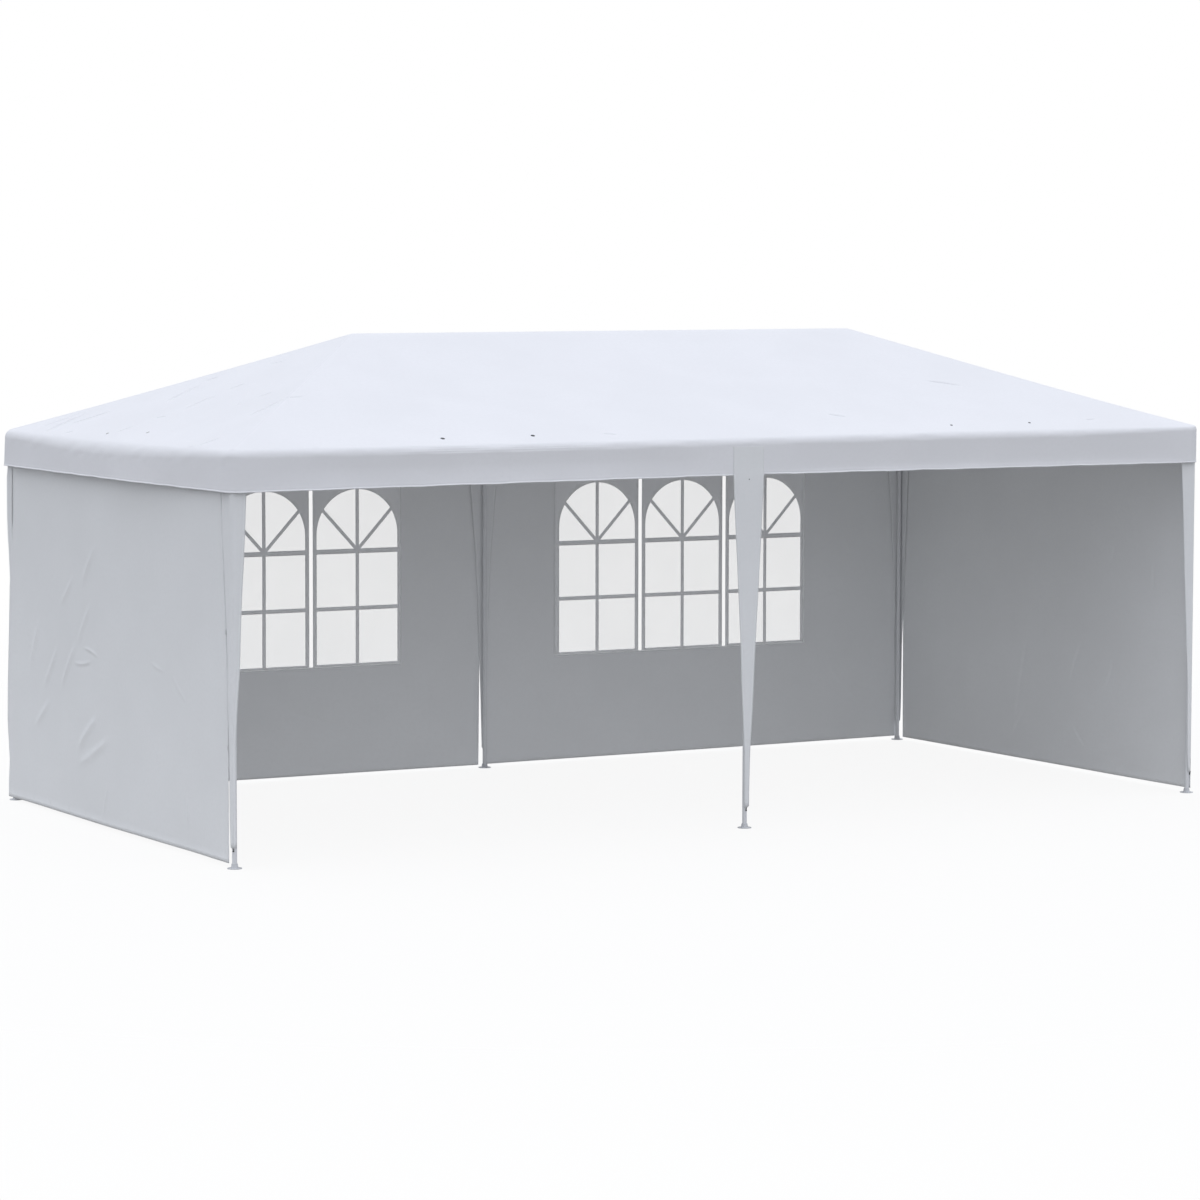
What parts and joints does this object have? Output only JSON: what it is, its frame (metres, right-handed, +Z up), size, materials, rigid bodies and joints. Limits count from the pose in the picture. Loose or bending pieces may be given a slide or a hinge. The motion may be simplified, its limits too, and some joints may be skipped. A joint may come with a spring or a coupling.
{
  "type": "marquee tent",
  "caption": "Party marquee with a white tube frame, a hipped fabric roof with a valance, leg covers, plain end walls and rear walls with arched windows, open along the front.",
  "frame": {"origin": "on the ground, at the centre of the footprint", "axes": "+X along the length, to the right seen from the open side; +Y to the rear; +Z up; the open long side faces -Y"},
  "size_m": [6.014, 2.994, 2.6119],
  "materials": {
    "tube": "white powder coat on steel tube",
    "connector": "white powder coat on steel fittings",
    "foot": "pale grey moulded plastic",
    "roof_fabric": "coated woven sheet, satin white",
    "leg_cover_fabric": "coated woven sheet, satin white",
    "wall_fabric": "coated woven sheet, satin white",
    "clear_film": "clear flexible film"
  },
  "bodies": {
    "root": {"foot_front_left": "foot", "foot_front_middle": "foot", "foot_front_right": "foot", "foot_rear_left": "foot", "foot_rear_middle": "foot", "foot_rear_right": "foot", "leg_front_left": "tube", "leg_front_middle": "tube", "leg_front_right": "tube", "leg_rear_left": "tube", "leg_rear_middle": "tube", "leg_rear_right": "tube", "eave_tube_front_left": "tube", "eave_tube_front_right": "tube", "eave_tube_rear_left": "tube", "eave_tube_rear_right": "tube", "eave_tube_left_end": "tube", "eave_tube_right_end": "tube", "hip_rafter_front_left": "tube", "hip_rafter_front_right": "tube", "hip_rafter_rear_left": "tube", "hip_rafter_rear_right": "tube", "middle_rafter_front": "tube", "middle_rafter_rear": "tube", "ridge_tube_left": "tube", "ridge_tube_right": "tube", "corner_connector_front_left": "connector", "corner_connector_front_right": "connector", "corner_connector_rear_left": "connector", "corner_connector_rear_right": "connector", "middle_connector_front": "connector", "middle_connector_rear": "connector", "ridge_connector_left": "connector", "ridge_connector_middle": "connector", "ridge_connector_right": "connector", "roof_panel_front": "roof_fabric", "roof_panel_rear": "roof_fabric", "roof_panel_left": "roof_fabric", "roof_panel_right": "roof_fabric", "valance_front": "roof_fabric", "valance_rear": "roof_fabric", "valance_left": "roof_fabric", "valance_right": "roof_fabric", "leg_cover_front_left": "leg_cover_fabric", "leg_cover_front_middle": "leg_cover_fabric", "leg_cover_front_right": "leg_cover_fabric", "leg_cover_rear_left": "leg_cover_fabric", "leg_cover_rear_middle": "leg_cover_fabric", "leg_cover_rear_right": "leg_cover_fabric", "end_wall_left": "wall_fabric", "end_wall_right": "wall_fabric", "rear_wall_left": "wall_fabric", "rear_wall_right": "wall_fabric", "window_film_left": "clear_film", "window_film_right": "clear_film"}
  },
  "joints": []
}
